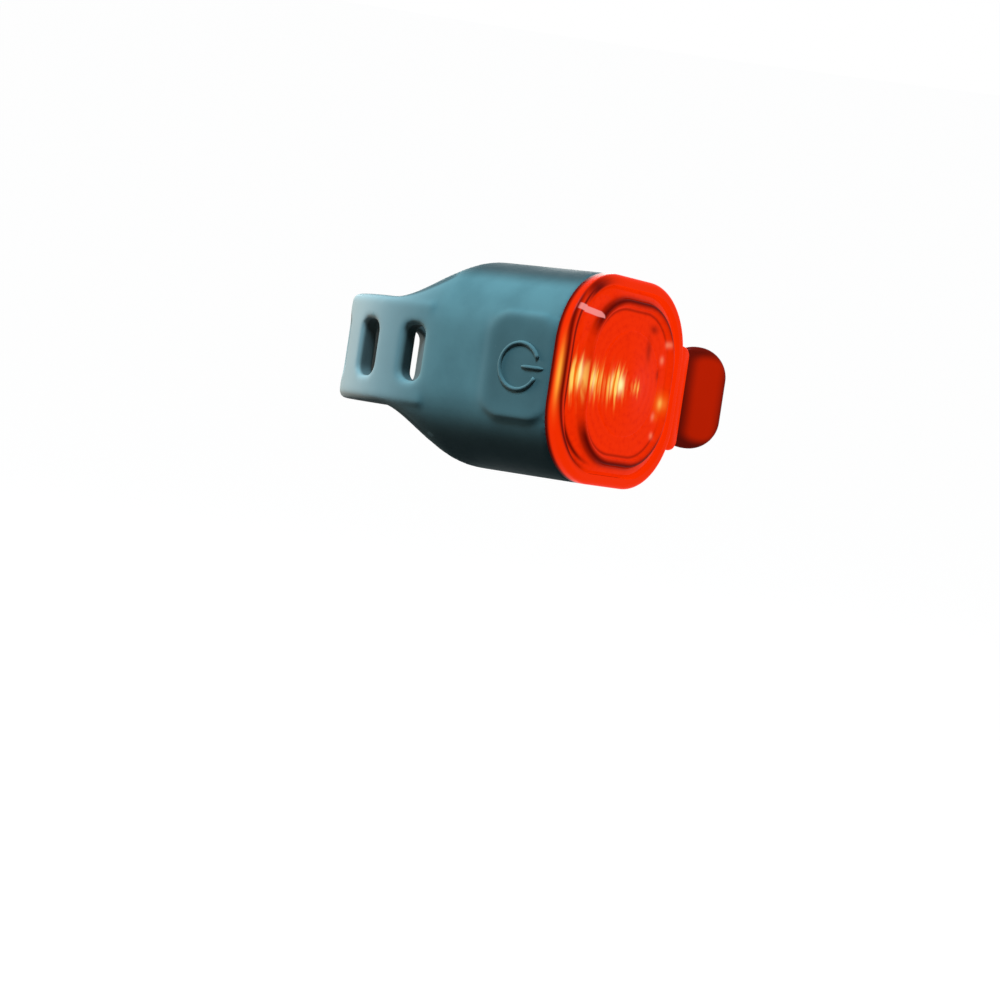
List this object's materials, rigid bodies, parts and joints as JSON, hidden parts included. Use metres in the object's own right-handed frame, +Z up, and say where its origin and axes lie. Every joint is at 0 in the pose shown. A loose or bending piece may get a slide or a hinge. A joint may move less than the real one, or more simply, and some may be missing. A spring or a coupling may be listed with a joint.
{
  "type": "rear bike light",
  "caption": "Small rear bike light with a red lens in a rubber sleeve, whose slotted strap wraps a seatpost and hooks onto the case. A button in its side works a switch.",
  "frame": {"origin": "on the axis of the seatpost that the strap clamps, level with the middle of the light", "axes": "+Z up along the seatpost's axis, -Y the way the lens faces, +X towards the strap hook, -X towards the power button"},
  "size_m": [0.0455, 0.0533, 0.033],
  "materials": {
    "sleeve_rubber": "matte moulded",
    "red_case": "gloss",
    "red_lens": "clear gloss",
    "black_rubber": "matte",
    "reflector_metal": "mirror plated",
    "led_body": "clear gloss",
    "board_green": "satin",
    "chip_black": "matte",
    "switch_body": "satin",
    "inner_plastic": "matte",
    "screw_steel": "bright",
    "contact_metal": "plated",
    "cell_steel": "bright"
  },
  "bodies": {
    "lamp": {"silicone_sleeve": "sleeve_rubber", "front_case_with_hook": "red_case", "lens": "red_lens", "lens_seal": "black_rubber", "reflector": "reflector_metal", "main_led": "led_body", "circuit_board": "board_green", "driver_chip": "chip_black", "chip_resistors": "chip_black", "tact_switch": "switch_body", "board_screws": "screw_steel", "battery_case": "inner_plastic", "contact_spring": "contact_metal", "coin_cell_rear": "cell_steel", "coin_cell_front": "cell_steel"},
    "power_button": {"power_button_pad": "sleeve_rubber", "button_plunger": "inner_plastic"},
    "switch_plunger": {"switch_stem": "switch_body"},
    "battery_door": {"battery_cap": "inner_plastic", "cap_seal": "black_rubber", "cap_contact": "contact_metal"}
  },
  "joints": [
    {"name": "button_press", "type": "slide", "parent": "lamp", "child": "power_button", "axis": [1, 0, 0], "range_m": [0, 0.0005], "stiffness_N_per_m": 4000},
    {"name": "switch_press", "type": "slide", "parent": "lamp", "child": "switch_plunger", "axis": [1, 0, 0], "range_m": [0, 0.0005]},
    {"name": "battery_cap_turn", "type": "hinge", "parent": "lamp", "child": "battery_door", "pos_m": [0, -0.01545, 0], "axis": [0, -1, 0], "range_deg": [0, 45]}
  ],
  "couplings": [
    {"joint": "switch_press", "follows": "button_press", "ratio": 1}
  ]
}
